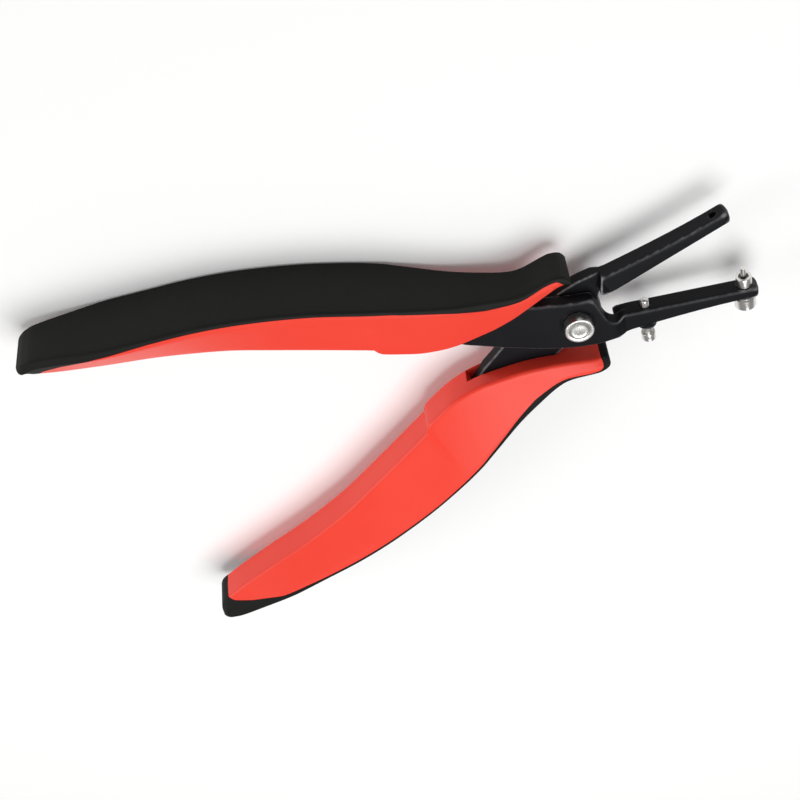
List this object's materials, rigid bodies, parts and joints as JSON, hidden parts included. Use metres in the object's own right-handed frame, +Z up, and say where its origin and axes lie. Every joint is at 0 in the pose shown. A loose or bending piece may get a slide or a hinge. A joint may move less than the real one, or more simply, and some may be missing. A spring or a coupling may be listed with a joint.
{
  "type": "hole punch pliers",
  "caption": "Hole punch pliers with lapped black steel levers, long narrow jaws, a punch facing a die hole, an adjustable stop screw and curved red and black moulded handles.",
  "frame": {"origin": "under the middle of the tool's bounding box, on the surface that it lies on", "axes": "+X along the line that halves the two levers, towards the jaws; +Y towards the front lever's handle; +Z up, along the pivot pin, out of the front face"},
  "size_m": [0.1814, 0.1176, 0.0206],
  "materials": {
    "black_steel": "black oxide, satin",
    "bright_steel": "turned, bright",
    "plated_steel": "plated, satin",
    "red_plastic": "moulded, semi-gloss",
    "black_rubber": "moulded, matt"
  },
  "bodies": {
    "front_side": {"front_lever": "black_steel", "front_handle_core": "red_plastic", "front_handle_grip": "black_rubber", "pivot_pin": "bright_steel", "punch_collar": "plated_steel", "punch_pin": "bright_steel", "punch_screw": "plated_steel"},
    "rear_side": {"rear_lever": "black_steel", "rear_handle_core": "red_plastic", "rear_handle_grip": "black_rubber"},
    "stop": {"stop_screw": "plated_steel"}
  },
  "joints": [
    {"name": "pivot", "type": "hinge", "parent": "front_side", "child": "rear_side", "pos_m": [0.04423, 0, 0.0103], "axis": [0, 0, 1], "range_deg": [-26, 30]},
    {"name": "stop_travel", "type": "slide", "parent": "front_side", "child": "stop", "axis": [0.225, 0.9744, 0], "range_m": [-0.0015, 0.001]}
  ]
}
